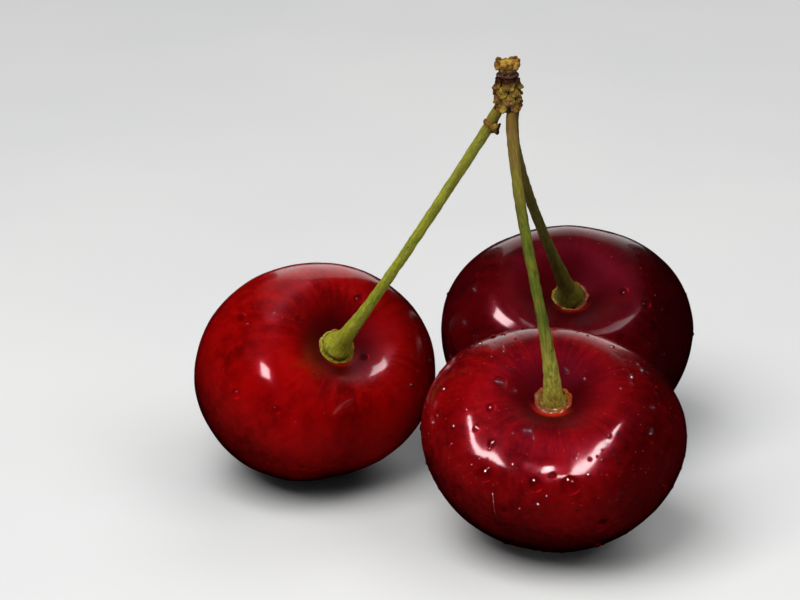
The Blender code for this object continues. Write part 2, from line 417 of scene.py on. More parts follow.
# %% The three fruits
# turn, tilt, millimetres inwards (or outwards, if negative) and the reach of each touch of the thumb
TOUCHES = {
    "front": (
        (-5.0, 64.0, -0.70, 7.0), (-50.0, 62.0, -0.55, 6.0), (45.0, 62.0, -0.55, 6.0),
        (-5.0, 32.0, 0.30, 4.5), (-50.0, 32.0, 0.25, 4.0), (45.0, 32.0, 0.25, 4.0), (-8.0, 48.0, 0.10, 3.0),
    ),
    "left": (
        (0.0, 56.0, 0.45, 5.0), (0.0, 85.0, 0.35, 7.0), (-45.0, 62.0, -0.45, 6.0), (50.0, 55.0, -0.45, 6.0),
        (-50.0, 32.0, 0.25, 4.0),
    ),
    "back": ((8.0, 50.0, 0.30, 6.0), (8.0, 90.0, 0.20, 7.0)),
}
UNEVENNESS = 0.22 * MM
RIPPLES = 0.10 * MM
ABOUT_A_RADIUS = 12 * MM

lumps = lump_field("skin_lumps", 9.0, 1)
ripples = lump_field("skin_ripples", 3.2, 1)

fruits = {}
for side in LEANS:
    fruit = copy_of(f"cherry_{side}", f"fruit_{side}")
    for turn, tilt, inwards, reach in TOUCHES[side]:
        outwards = fruit_direction(side, turn, tilt)
        push(fruit, hearts[side] + outwards * ABOUT_A_RADIUS, outwards * -inwards * MM, reach * MM)
    keep_flat_spot(fruit)
    smooth(fruit, 2)
    roughen(fruit, lumps, UNEVENNESS)
    roughen(fruit, ripples, RIPPLES)
    fruits[side] = fruit
    print(fruit.name, "faces:", len(fruit.data.polygons))

# %% Finding the skin
OUTSIDE_THE_FRUIT = 20 * MM


def ray_tree(piece):
    """The piece's faces, sorted so that rays can be shot at them quickly."""
    points = [vertex.co for vertex in piece.data.vertices]
    return BVHTree.FromPolygons(points, [face.vertices for face in piece.data.polygons])


trees = {side: ray_tree(fruit) for side, fruit in fruits.items()}


def skin_at(side, turn, tilt):
    """The point of the fruit's skin in this direction from its heart, and which way the skin faces there."""
    outwards = fruit_direction(side, turn, tilt)
    spot, facing, _, _ = trees[side].ray_cast(hearts[side] + outwards * OUTSIDE_THE_FRUIT, -outwards)
    return spot, facing


def foot_of(side):
    """The bottom of the stem cavity, where the stem has grown on."""
    return skin_at(side, 0.0, 0.0)[0]


for side in LEANS:
    print(side, "cavity bottom in mm:", [round(value / MM, 1) for value in foot_of(side)])

# %% [markdown]
# ### Skin
#
# Cherry skin has three things to see: a deep colour that varies in soft patches, fine paler streaks that
# run from the stem to the tip, and tiny pale flecks. Streaks that converge on the stem need the direction
# round the core, which is the place on the fruit with its height taken out, brought to length one. The
# gloss has two layers: a slightly blurred one, tinted pink, under a sharp clear coat of wax and water.


# %% Colour of the skin
def core_axes(tree, side):
    """A fruit's own coordinates in millimetres, their parts, and how far out from the core a place lies."""
    place = own_axes(tree, hearts[side], fruit_turn(side).to_euler())
    parts = add(tree, "SeparateXYZ", {0: place}).outputs
    flat = add(tree, "CombineXYZ", {"X": parts["X"], "Y": parts["Y"]}).outputs[0]
    from_core = add(tree, "VectorMath", {0: flat}, operation="LENGTH").outputs["Value"]
    return place, parts, flat, from_core


def skin_colour(tree, place, parts, flat, mottle, deep, fresh, bright):
    """Soft patches from deep to fresh, with bright streaks and mottling, and painted shade underneath and on
    one flank.
    """
    round_core = add(tree, "VectorMath", {0: flat}, operation="NORMALIZE").outputs[0]
    along = add(tree, "CombineXYZ", {"Z": maths(tree, "MULTIPLY", parts["Z"], 0.07)}).outputs[0]
    streak_place = add(tree, "VectorMath", {0: round_core, 1: along}, operation="ADD").outputs[0]
    patches = level(tree, noise(tree, place, 0.13, 2.0), 0.20, 0.70)
    streaks = level(tree, noise(tree, streak_place, 13.0, 6.0, 0.65), 0.44, 0.68)
    colour = mix(tree, patches, (*deep, 1.0), (*fresh, 1.0))
    colour = mix(tree, maths(tree, "MULTIPLY", streaks, 0.28), colour, (*bright, 1.0))
    colour = mix(tree, maths(tree, "MULTIPLY", mottle, 0.20), colour, (*bright, 1.0))
    # painted shade: darker towards the bottom of the fruit and towards its +X flank
    shade_below = level(tree, parts["Z"], 5.0, -4.5)
    shade_at_flank = level(tree, parts["X"], 3.0, 10.5)
    shade = maths(tree, "MAXIMUM", shade_below, maths(tree, "MULTIPLY", shade_at_flank, 0.8))
    shaded_deep = [channel * 0.35 for channel in deep]
    return mix(tree, maths(tree, "MULTIPLY", shade, 0.92), colour, (*shaded_deep, 1.0))


def add_flecks(tree, place, colour, flecks):
    """Tiny pale flecks, at most one to a cell. flecks is the share of the cells that have one."""
    cells = add(tree, "TexVoronoi", {"Vector": place, "Scale": 1.7})
    chance = add(tree, "SeparateColor", {0: cells.outputs["Color"]}).outputs[0]
    dots = level(tree, cells.outputs["Distance"], 0.15, 0.03)
    shown = maths(tree, "MULTIPLY", dots, maths(tree, "GREATER_THAN", chance, 1.0 - flecks))
    return mix(tree, maths(tree, "MULTIPLY", shown, 0.35), colour, (0.70, 0.10, 0.09, 1.0))


def add_ends(tree, parts, from_core, stem_end, colour, near_glow):
    """Paints shade into the cavity and a red glow on its near edge, the glow by the last argument's share, and
    browns the dry scar at the tip.
    """
    # painted shade in the stem cavity
    cavity_shade = maths(tree, "MULTIPLY", stem_end, level(tree, from_core, 6.6, 2.2))
    colour = mix(tree, maths(tree, "MULTIPLY", cavity_shade, 0.88), colour, (0.022, 0.0003, 0.0006, 1.0))
    # painted glow: a bright red glow on the cavity's near edge, round the stem's foot
    ring = maths(tree, "MULTIPLY", stem_end, level(tree, from_core, 2.7, 1.9))
    ring = maths(tree, "MULTIPLY", ring, level(tree, parts["Y"], -0.6, -2.2))
    colour = mix(tree, maths(tree, "MULTIPLY", ring, near_glow), colour, (0.40, 0.012, 0.004, 1.0))
    tip_end = level(tree, parts["Z"], -6.0, -8.0)
    scar = maths(tree, "MULTIPLY", tip_end, level(tree, from_core, 0.9, 0.4))
    return mix(tree, scar, colour, (0.10, 0.045, 0.02, 1.0))


# %% Skin finish
def cherry_skin(side, deep, fresh, bright, flecks, blooms, matt_from, matt_to, near_glow):
    """The whole skin. blooms are the spots, by turn and tilt, where the wax has been rubbed matt.

    Between matt_from and matt_to millimetres from the core the cavity turns matt too.
    """
    finish, tree, shader = new_finish(f"skin_{side}")
    place, parts, flat, from_core = core_axes(tree, side)
    mottle = level(tree, noise(tree, place, 0.9, 5.0, 0.65), 0.38, 0.66)
    stem_end = level(tree, parts["Z"], 2.0, 5.0)
    colour = skin_colour(tree, place, parts, flat, mottle, deep, fresh, bright)
    colour = add_flecks(tree, place, colour, flecks)
    colour = add_ends(tree, parts, from_core, stem_end, colour, near_glow)
    tree.links.new(colour, shader.inputs["Base Color"])

    matt = maths(tree, "MULTIPLY", stem_end, level(tree, from_core, matt_from, matt_to))
    for bloom in blooms:
        spot = fruit_turn(side).transposed() @ (skin_at(side, *bloom)[0] - hearts[side]) / MM
        away = add(tree, "VectorMath", {0: place, 1: spot}, operation="DISTANCE").outputs["Value"]
        matt = maths(tree, "MAXIMUM", matt, level(tree, away, 4.2, 2.0))
    gloss = add(tree, "MapRange", {"Value": matt, "To Min": 0.6, "To Max": 0.0}).outputs[0]
    tree.links.new(gloss, shader.inputs["Coat Weight"])
    dullness = add(tree, "MapRange", {"Value": mottle, "To Min": 0.20, "To Max": 0.26}).outputs[0]
    dullness = maths(tree, "ADD", dullness, maths(tree, "MULTIPLY", matt, 0.30))
    tree.links.new(dullness, shader.inputs["Roughness"])
    pores = noise(tree, place, 2.6, 4.0, 0.6)
    dents = add(tree, "Bump", {"Height": pores, "Strength": 0.25, "Distance": 0.05 * MM}).outputs[0]
    tree.links.new(dents, shader.inputs["Normal"])
    shader.inputs["IOR"].default_value = 1.30
    shader.inputs["Specular Tint"].default_value = (1.0, 0.04, 0.14, 1.0)
    shader.inputs["Coat Roughness"].default_value = 0.10
    shader.inputs["Coat IOR"].default_value = 1.4
    shader.inputs["Subsurface Weight"].default_value = 0.25
    shader.inputs["Subsurface Radius"].default_value = (1.0, 0.12, 0.10)
    shader.inputs["Subsurface Scale"].default_value = 1.2 * MM
    return finish


# %% The three skins
# the last entry of each skin is the share of painted red glow on its cavity's near edge
SKINS = {
    "front": dict(
        deep=(0.036, 0.0003, 0.001),
        fresh=(0.135, 0.0006, 0.0014),
        bright=(0.28, 0.002, 0.002),
        flecks=0.55,
        blooms=(),
        matt_from=8.6,
        matt_to=5.4,
        near_glow=0.85,
    ),
    "left": dict(
        deep=(0.060, 0.0002, 0.0004),
        fresh=(0.20, 0.0005, 0.0006),
        bright=(0.33, 0.002, 0.001),
        flecks=0.15,
        blooms=((-142.0, 38.0),),
        matt_from=6.6,
        matt_to=2.8,
        near_glow=0.30,
    ),
    "back": dict(
        deep=(0.015, 0.0002, 0.001),
        fresh=(0.048, 0.0004, 0.001),
        bright=(0.10, 0.001, 0.002),
        flecks=0.15,
        blooms=((126.0, 27.0),),
        matt_from=8.6,
        matt_to=5.4,
        near_glow=0.30,
    ),
}
for side, fruit in fruits.items():
    hand_over(fruit, cherry_skin(side, **SKINS[side]), f"skin_{side}", f"cherry_{side}")
print("skins:", len(SKINS))

# %% [markdown]
# ## Stems
#
# A cherry stem is tough and slender, round but for fine ridges along it, and it flares where it has grown
# into the fruit. The measured tubes already have their curve and their flare, and stop just short of what
# they grow from. The front stem's foot is slimmer than its tube's, so its lowest rings of points are drawn
# in first. Then each foot is sunk into its cavity, each top is raised between the bud scales, and all three
# are subdivided and made a little knobbly.

# %% The three stems
knobs = lump_field("stem_knobs", 0.9, 2)
KNOB_HEIGHT = 0.16 * MM
FOOT_RING = 0.2 * MM
TOP_RING = 0.7 * MM
FOOT_SUNK = 0.45 * MM
TOP_RAISED = 0.40 * MM

# how far up the stem a ring of points lies, from and to in millimetres, and how much it is drawn in
NARROWINGS = {"front": ((0.2, 0.6, 0.68), (0.6, 1.15, 0.58), (1.15, 1.9, 0.80)), "left": (), "back": ()}


def draw_in(piece, side, low, high, share):
    """Draws in the stem's ring of points between these heights above its foot."""
    select_only(piece)
    core = fruit_direction(side, 0, 0)
    heights = [(vertex.co - hearts[side]).dot(core) for vertex in piece.data.vertices]
    ring = []
    for vertex, height in zip(piece.data.vertices, heights):
        vertex.select = low * MM < height - min(heights) < high * MM
        if vertex.select:
            ring.append(vertex.co)
    centre = sum(ring, Vector()) / len(ring)
    bpy.ops.object.mode_set(mode="EDIT")
    bpy.ops.mesh.select_mode(type="VERT")
    bpy.ops.transform.resize(value=(share, share, share), center_override=centre)
    bpy.ops.mesh.select_all(action="DESELECT")
    bpy.ops.object.mode_set(mode="OBJECT")


def sink_foot(piece, side, by):
    """Moves the stem's lowest ring of points down into the fruit's cavity."""
    select_only(piece)
    core = fruit_direction(side, 0, 0)
    heights = [vertex.co.dot(core) for vertex in piece.data.vertices]
    for vertex, height in zip(piece.data.vertices, heights):
        vertex.select = height - min(heights) < FOOT_RING
    bpy.ops.object.mode_set(mode="EDIT")
    bpy.ops.transform.translate(value=core * -by)
    bpy.ops.mesh.select_all(action="DESELECT")
    bpy.ops.object.mode_set(mode="OBJECT")


def raise_top(piece, by):
    """Moves the stem's highest ring of points up between the bud scales."""
    select_only(piece)
    top = max(vertex.co.z for vertex in piece.data.vertices)
    for vertex in piece.data.vertices:
        vertex.select = vertex.co.z > top - TOP_RING
    bpy.ops.object.mode_set(mode="EDIT")
    bpy.ops.transform.translate(value=(0.0, 0.0, by))
    bpy.ops.mesh.select_all(action="DESELECT")
    bpy.ops.object.mode_set(mode="OBJECT")


stems = {}
for side in LEANS:
    stem = copy_of(f"stem_{side}", f"stalk_{side}")
    for low, high, share in NARROWINGS[side]:
        draw_in(stem, side, low, high, share)
    sink_foot(stem, side, FOOT_SUNK)
    raise_top(stem, TOP_RAISED)
    smooth(stem, 2)
    roughen(stem, knobs, KNOB_HEIGHT)
    stems[side] = stem
    print(stem.name, "faces:", len(stem.data.polygons))


# %% [markdown]
# ### Stem finish
#
# A stem is pale olive at its foot, green above it and brown towards the spur, and its foot is painted paler
# still as painted light in the shaded cavity. Fine fibres run along it, so their noise is stretched along the
# line from foot to top. Tan specks lie along one side, partly a painted highlight there, dark scars here and
# there, and pale lines in the brown of its upper half.


# %% Stem finish
def stem_skin(side, green, pale, dark, foot, rusty, speckled):
    """Green to pale in patches, with fibres and a pale foot that is partly painted light.
    rusty is how brown the top is, speckled how strong the specks along one side are, which are partly painted
    highlight.
    """
    finish, tree, shader = new_finish(f"stem_{side}")
    run = middle("spur") - foot_of(side)
    length = run.length / MM
    place = own_axes(tree, foot_of(side), run.to_track_quat("Z", "Y").to_euler())
    parts = add(tree, "SeparateXYZ", {0: place}).outputs
    up = parts["Z"]

    fibres_place = add(tree, "Mapping", {"Vector": place, "Scale": (5.0, 5.0, 0.35)}).outputs[0]
    fibres = level(tree, noise(tree, fibres_place, 1.0, 4.0, 0.6), 0.36, 0.64)
    patches = level(tree, noise(tree, place, 0.35, 3.0), 0.38, 0.62)
    colour = mix(tree, patches, (*green, 1.0), (*pale, 1.0))
    # the foot colour is partly the stem's pale olive and partly painted light, where the cavity shades the
    # foot
    colour = mix(tree, maths(tree, "MULTIPLY", level(tree, up, 11.0, 1.5), 0.80), colour, (*foot, 1.0))
    colour = mix(tree, maths(tree, "MULTIPLY", fibres, 0.60), colour, (*dark, 1.0))

    # tan specks along one side, partly a painted highlight there, and dark scars
    grain_place = add(tree, "Mapping", {"Vector": place, "Scale": (3.4, 3.4, 1.5)}).outputs[0]
    specks = level(tree, noise(tree, grain_place, 1.3, 4.0, 0.75), 0.51, 0.57)
    specks_and_sheen = maths(tree, "MULTIPLY", level(tree, parts["X"], 0.9, -0.4), specks)
    colour = mix(tree, maths(tree, "MULTIPLY", specks_and_sheen, speckled), colour, (0.50, 0.40, 0.15, 1.0))
    scars = level(tree, noise(tree, grain_place, 0.45, 3.0, 0.6), 0.58, 0.66)
    colour = mix(tree, maths(tree, "MULTIPLY", scars, 0.7 * speckled), colour, (0.050, 0.024, 0.005, 1.0))

    # brown from the middle up, with pale lines, and darkest where it enters the spur
    brown = maths(tree, "MULTIPLY", level(tree, up, 18.0, 30.0), rusty)
    brown = maths(tree, "MULTIPLY", brown, maths(tree, "ADD", maths(tree, "MULTIPLY", fibres, 0.5), 0.5))
    colour = mix(tree, brown, colour, (0.20, 0.105, 0.026, 1.0))
    lines_place = add(tree, "Mapping", {"Vector": place, "Scale": (9.0, 9.0, 0.30)}).outputs[0]
    lines = level(tree, noise(tree, lines_place, 1.0, 2.0, 0.5), 0.54, 0.62)
    lines = maths(tree, "MULTIPLY", lines, maths(tree, "MULTIPLY", level(tree, up, 20.0, 28.0), rusty))
    colour = mix(tree, lines, colour, (0.30, 0.17, 0.05, 1.0))
    neck = maths(tree, "MULTIPLY", level(tree, up, length - 6.5, length - 2.5), 0.65)
    colour = mix(tree, neck, colour, (0.11, 0.060, 0.010, 1.0))
    tree.links.new(colour, shader.inputs["Base Color"])

    dullness = add(tree, "MapRange", {"Value": specks, "To Min": 0.42, "To Max": 0.62}).outputs[0]
    tree.links.new(dullness, shader.inputs["Roughness"])
    relief = maths(tree, "ADD", maths(tree, "MULTIPLY", fibres, -0.6), specks)
    dents = add(tree, "Bump", {"Height": relief, "Strength": 0.6, "Distance": 0.06 * MM}).outputs[0]
    tree.links.new(dents, shader.inputs["Normal"])
    shader.inputs["IOR"].default_value = 1.36
    shader.inputs["Subsurface Weight"].default_value = 0.15
    shader.inputs["Subsurface Radius"].default_value = (0.5, 0.6, 0.2)
    shader.inputs["Subsurface Scale"].default_value = 0.4 * MM
    return finish


# %% The three stems' looks
# the front stem's foot is painted far paler than the rest of it, as painted light in its shaded cavity
STEM_LOOKS = {
    "front": dict(
        green=(0.085, 0.120, 0.010),
        pale=(0.16, 0.165, 0.014),
        dark=(0.034, 0.048, 0.004),
        foot=(0.64, 0.55, 0.080),
        rusty=0.8,
        speckled=0.85,
    ),
    "left": dict(
        green=(0.19, 0.24, 0.006),
        pale=(0.30, 0.32, 0.010),
        dark=(0.11, 0.14, 0.004),
        foot=(0.28, 0.27, 0.010),
        rusty=0.22,
        speckled=0.35,
    ),
    "back": dict(
        green=(0.050, 0.060, 0.004),
        pale=(0.09, 0.085, 0.007),
        dark=(0.026, 0.030, 0.003),
        foot=(0.12, 0.10, 0.012),
        rusty=0.35,
        speckled=0.15,
    ),
}
for side, stem in stems.items():
    hand_over(stem, stem_skin(side, **STEM_LOOKS[side]), "stem", f"stem_{side}")
print("stems:", len(stems))

# %% [markdown]
# ### Where stem and fruit have grown together
#
# Round each stem's foot the fruit keeps a torn rim, the remains of the flower's cup: a lumpy ring, dull red
# on one side and more orange on the other. It starts as a torus, with a flattened ball for the bed in its
# middle, turned to the core. The two are subdivided and displaced strongly enough to look torn.

# %% Torn rims
torn = lump_field("torn_rim", 0.7, 2)
TORN_BY = 0.55 * MM
BED_FLATNESS = 0.28


def rim_skin(side, pale, warm, wet):
    """A rim from pale on one side to warm on the other, an olive bed in its middle, and a film of water."""
    finish, tree, shader = new_finish(f"rim_{side}")
    place = own_axes(tree, foot_of(side), fruit_turn(side).to_euler())
    parts = add(tree, "SeparateXYZ", {0: place}).outputs
    grain = level(tree, noise(tree, place, 2.4, 4.0, 0.65), 0.40, 0.62)
    side_share = level(tree, parts["X"], -0.6, 1.2)
    colour = mix(tree, side_share, (*pale, 1.0), (*warm, 1.0))
    colour = mix(tree, maths(tree, "MULTIPLY", grain, 0.75), colour, (0.10, 0.012, 0.004, 1.0))
    flat = add(tree, "CombineXYZ", {"X": parts["X"], "Y": parts["Y"]}).outputs[0]
    from_core = add(tree, "VectorMath", {0: flat}, operation="LENGTH").outputs["Value"]
    bed = mix(tree, grain, (0.20, 0.120, 0.012, 1.0), (0.050, 0.016, 0.003, 1.0))
    colour = mix(tree, level(tree, from_core, 1.65, 1.25), colour, bed)
    tree.links.new(colour, shader.inputs["Base Color"])
    dullness = add(tree, "MapRange", {"Value": grain, "To Min": 0.25, "To Max": 0.45}).outputs[0]
    tree.links.new(dullness, shader.inputs["Roughness"])
    shader.inputs["IOR"].default_value = 1.25
    shader.inputs["Coat Weight"].default_value = wet
    shader.inputs["Coat Roughness"].default_value = 0.05
    return finish


# the ring's radius and thickness and its height above the cavity's bottom, all in millimetres, and its look
RIMS = {
    "front": (
        dict(ring=1.60, thick=0.42, lift=0.30),
        dict(pale=(0.17, 0.046, 0.018), warm=(0.25, 0.048, 0.004), wet=0.22),
    ),
    "left": (
        dict(ring=1.75, thick=0.40, lift=0.40),
        dict(pale=(0.17, 0.16, 0.008), warm=(0.20, 0.14, 0.01), wet=0.0),
    ),
    "back": (
        dict(ring=1.75, thick=0.36, lift=0.35),
        dict(pale=(0.12, 0.09, 0.008), warm=(0.11, 0.03, 0.01), wet=0.0),
    ),
}
rims = {}
for side, (size, look) in RIMS.items():
    bpy.ops.mesh.primitive_torus_add(
        major_segments=28,
        minor_segments=8,
        major_radius=size["ring"] * MM,
        minor_radius=size["thick"] * MM,
    )
    rim = bpy.context.active_object
    bpy.ops.mesh.primitive_uv_sphere_add(segments=24, ring_count=10, radius=size["ring"] * MM)
    bed = bpy.context.active_object
    bed.scale = (1.0, 1.0, BED_FLATNESS)
    select_only(rim, bed)
    bpy.ops.object.join()
    rim.name = f"flower_rim_{side}"
    rim.location = foot_of(side) + fruit_direction(side, 0, 0) * size["lift"] * MM
    rim.rotation_euler = fruit_turn(side).to_euler()
    bpy.ops.object.transform_apply(location=True, rotation=True, scale=True)
    smooth(rim, 1)
    roughen(rim, torn, TORN_BY)
    rims[side] = hand_over(rim, rim_skin(side, **look), "stem")
print("rims:", len(RIMS))

# %% [markdown]
# ## The spur
#
# The spur is the stub of wood that carried the flowers. Its bare ring is dark, nearly purple, and the scales
# are painted darker near its axis, as painted shade in the crevices. The bud scales on it are dry, plump and
# knobbly, in rows that hang down like tiles, and the crown of torn stubs above the ring points up. A merged
# copy of each solid is fattened while it is coarse, smoothed, and displaced by the same field of lumps. Since
# that field stands still while the scales sit in different places, no two come out alike.

# %% Wood and scale finishes
def spur_place(tree):
    """A place on the spur's own axes in millimetres, how far out it is, and how high above the spur's foot."""
    foot = middle("spur")
    foot.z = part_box("spur")[0].z
    place = own_axes(tree, foot, Euler((math.radians(-3.0), math.radians(-1.5), 0.0)))
    parts = add(tree, "SeparateXYZ", {0: place}).outputs
    flat = add(tree, "CombineXYZ", {"X": parts["X"], "Y": parts["Y"]}).outputs[0]
    return place, add(tree, "VectorMath", {0: flat}, operation="LENGTH").outputs["Value"], parts["Z"]


def bark_finish():
    """Dark wood with a brown crust, and yellow where its top has been torn off."""
    finish, tree, shader = new_finish("spur_bark")
    place, _, up = spur_place(tree)
    grain = level(tree, noise(tree, place, 2.2, 5.0, 0.65), 0.38, 0.64)
    crust = level(tree, noise(tree, place, 4.5, 3.0, 0.7), 0.50, 0.66)
    colour = mix(tree, grain, (0.018, 0.006, 0.006, 1.0), (0.075, 0.024, 0.018, 1.0))
    colour = mix(tree, maths(tree, "MULTIPLY", crust, 0.5), colour, (0.20, 0.11, 0.04, 1.0))
    torn_top = mix(tree, grain, (0.36, 0.22, 0.03, 1.0), (0.13, 0.05, 0.010, 1.0))
    colour = mix(tree, level(tree, up, 3.9, 4.3), colour, torn_top)
    tree.links.new(colour, shader.inputs["Base Color"])
    dullness = add(tree, "MapRange", {"Value": grain, "To Min": 0.45, "To Max": 0.75}).outputs[0]
    tree.links.new(dullness, shader.inputs["Roughness"])
    dents = add(tree, "Bump", {"Height": grain, "Strength": 0.7, "Distance": 0.08 * MM}).outputs[0]
    tree.links.new(dents, shader.inputs["Normal"])
    return finish


def scale_finish(name, pale, brown, dark, crevice_shade_share, neck):
    """Dry papery scales: pale on the lumps, brown in between, and dark stains over both.

    The argument before neck is the share of painted shade near the axis and between the two heights of neck,
    in millimetres.
    """
    finish, tree, shader = new_finish(name)
    place, out, up = spur_place(tree)
    lumps_share = level(tree, noise(tree, place, 1.3, 4.0, 0.6), 0.38, 0.62)
    stains = level(tree, noise(tree, place, 2.4, 4.0, 0.7), 0.50, 0.66)
    specks = level(tree, noise(tree, place, 7.0, 2.0, 0.6), 0.60, 0.68)
    colour = mix(tree, lumps_share, (*pale, 1.0), (*brown, 1.0))
    colour = mix(tree, maths(tree, "MULTIPLY", stains, 0.9), colour, (*dark, 1.0))
    colour = mix(tree, maths(tree, "MULTIPLY", specks, 0.5), colour, (0.50, 0.36, 0.19, 1.0))
    # painted shade in the crevices: darker near the spur's axis and between the two heights of neck
    crevice_shade = maths(tree, "MAXIMUM", level(tree, out, 1.28, 0.98), level(tree, up, *neck))
    colour = mix(tree, maths(tree, "MULTIPLY", crevice_shade, crevice_shade_share), colour, (*dark, 1.0))
    tree.links.new(colour, shader.inputs["Base Color"])
    dullness = add(tree, "MapRange", {"Value": stains, "To Min": 0.38, "To Max": 0.62}).outputs[0]
    tree.links.new(dullness, shader.inputs["Roughness"])
    relief = maths(tree, "ADD", lumps_share, maths(tree, "MULTIPLY", specks, 0.5))
    dents = add(tree, "Bump", {"Height": relief, "Strength": 0.5, "Distance": 0.08 * MM}).outputs[0]
    tree.links.new(dents, shader.inputs["Normal"])
    shader.inputs["Coat Weight"].default_value = 0.25
    shader.inputs["Coat Roughness"].default_value = 0.25
    return finish


# %% The wood
bark = lump_field("bark_lumps", 0.55, 2)
BARK_LUMPS = 0.22 * MM

wood = copy_of("spur", "spur_wood")
smooth(wood, 2, "SIMPLE")
roughen(wood, bark, BARK_LUMPS, 0.55)
hand_over(wood, bark_finish(), "spur_bark", "spur")
print(wood.name, "faces:", len(wood.data.polygons))

# %% The bud scales
scale_lumps = lump_field("scale_lumps", 0.62, 2)
SCALE_LUMPS = 0.55 * MM
CROWN_FATTER = 0.12 * MM
SCALE_FATTER = 0.08 * MM


def plump(piece, by):
    """Moves every face of the piece outwards by this much."""
    select_only(piece)
    bpy.ops.object.mode_set(mode="EDIT")
    bpy.ops.mesh.select_all(action="SELECT")
    bpy.ops.transform.shrink_fatten(value=by)
    bpy.ops.mesh.select_all(action="DESELECT")
    bpy.ops.object.mode_set(mode="OBJECT")


# millimetres inwards and upwards, so that the torn pieces of the crown crowd together
SHIFTS = {"crown_low": (0.10, 0.50), "crown_high": (0.30, -0.38)}


def shift(piece, by):
    """Moves a scale towards the spur's axis and up."""
    inwards, upwards = by
    centre = sum((vertex.co for vertex in piece.data.vertices), Vector()) / len(piece.data.vertices)
    way = middle("spur") - centre
    way.z = 0.0
    select_only(piece)
    bpy.ops.object.mode_set(mode="EDIT")
    bpy.ops.mesh.select_all(action="SELECT")
    bpy.ops.transform.translate(value=way.normalized() * inwards * MM + Vector((0.0, 0.0, upwards * MM)))
    bpy.ops.mesh.select_all(action="DESELECT")
    bpy.ops.object.mode_set(mode="OBJECT")


scale_look = scale_finish(
    "bud_scale",
    pale=(0.22, 0.148, 0.012),
    brown=(0.105, 0.036, 0.006),
    dark=(0.024, 0.006, 0.003),
    crevice_shade_share=0.95,
    neck=(2.5, 3.1),
)
crown_look = scale_finish(
    "torn_crown",
    pale=(0.31, 0.215, 0.022),
    brown=(0.19, 0.072, 0.008),
    dark=(0.050, 0.012, 0.004),
    crevice_shade_share=0.7,
    neck=(9.0, 9.9),
)
scale_nodes = [name for name in frame["nodes"] if name.startswith(("bud_scale", "crown", "left_bract"))]
for node in scale_nodes:
    crown = node.startswith("crown")
    scale = copy_of(node, f"{node}_lumpy")
    shift(scale, SHIFTS.get(node.rsplit("_", 1)[0], (0.0, 0.0)))
    plump(scale, CROWN_FATTER if crown else SCALE_FATTER)
    smooth(scale, 2)
    roughen(scale, scale_lumps, SCALE_LUMPS, 0.55)
    hand_over(scale, crown_look if crown else scale_look, "bud_scale", node)
print("scales:", len(scale_nodes))

# %% The ring of the bract
# The bract is the torn lip of a brown ring that runs round the left stem.
COLLAR_DOWN = 1.50 * MM
COLLAR_LUMPS = 0.45 * MM
along = Vector((0.54, -0.25, 1.0)).normalized()
bpy.ops.mesh.primitive_torus_add(
    major_segments=20,
    minor_segments=8,
    major_radius=0.53 * MM,
    minor_radius=0.18 * MM,
)
collar = bpy.context.active_object
collar.name = "bract_ring"
collar.scale = (1.0, 1.0, 1.5)
low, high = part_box("stem_left")
# the stem's top end is in this corner of its box, and its middle half a stem's thickness further in
stem_top = Vector((high.x, low.y, high.z)) + Vector((-0.55, 0.55, -0.20)) * MM
collar.location = stem_top - along * COLLAR_DOWN
collar.rotation_euler = along.to_track_quat("Z", "Y").to_euler()
bpy.ops.object.transform_apply(location=True, rotation=True, scale=True)
smooth(collar, 1)
roughen(collar, scale_lumps, COLLAR_LUMPS)
collar_look = scale_finish(
    "bract",
    pale=(0.20, 0.085, 0.014),
    brown=(0.13, 0.035, 0.010),
    dark=(0.05, 0.012, 0.005),
    crevice_shade_share=0.0,
    neck=(-30.0, -40.0),
)
hand_over(collar, collar_look, "bud_scale")
print("collar at", [round(value * 1000, 1) for value in stem_top - along * COLLAR_DOWN])

# %% [markdown]
# ## Water
#
# A drop on waxy skin is a low dome. Each one is a copy of a single flattened ball, set a little into the
# skin where a line from the fruit's middle comes out of it, and turned to the skin there. The big ones are
# placed one by one, since they are what the eye finds, and the fine spray is scattered, thicker on the
# flanks than in the cavity. The big drops on a fruit are then joined, and so is its spray, since each group
# shares one finish.

# %% Water finish
water, tree, shader = new_finish("water")
# Each drop is painted: a red glow on its side away from the light, for the light it focuses there, and painted
# shade on its lit side.
far_side = add(tree, "Attribute", attribute_name="far_side").outputs["Fac"]
painted_glow = level(tree, far_side, 0.55, 0.92)
shade = level(tree, far_side, 0.45, -0.45)
tree.links.new(mix(tree, shade, (1.0, 1.0, 1.0, 1.0), (0.62, 0.40, 0.42, 1.0)), shader.inputs["Base Color"])
shader.inputs["Transmission Weight"].default_value = 1.0
shader.inputs["IOR"].default_value = 1.333
shader.inputs["Roughness"].default_value = 0.0
# painted glow: the far side of each drop glows red, though it is no lamp
shader.inputs["Emission Color"].default_value = (0.80, 0.008, 0.012, 1.0)
tree.links.new(maths(tree, "MULTIPLY", painted_glow, 0.30), shader.inputs["Emission Strength"])
clear = add(tree, "BsdfTransparent", {"Color": (0.45, 0.45, 0.45, 1.0)})
is_shadow = add(tree, "LightPath").outputs["Is Shadow Ray"]
both = add(tree, "MixShader", {0: is_shadow, 1: shader.outputs[0], 2: clear.outputs[0]})
tree.links.new(both.outputs[0], tree.nodes["Material Output"].inputs["Surface"])

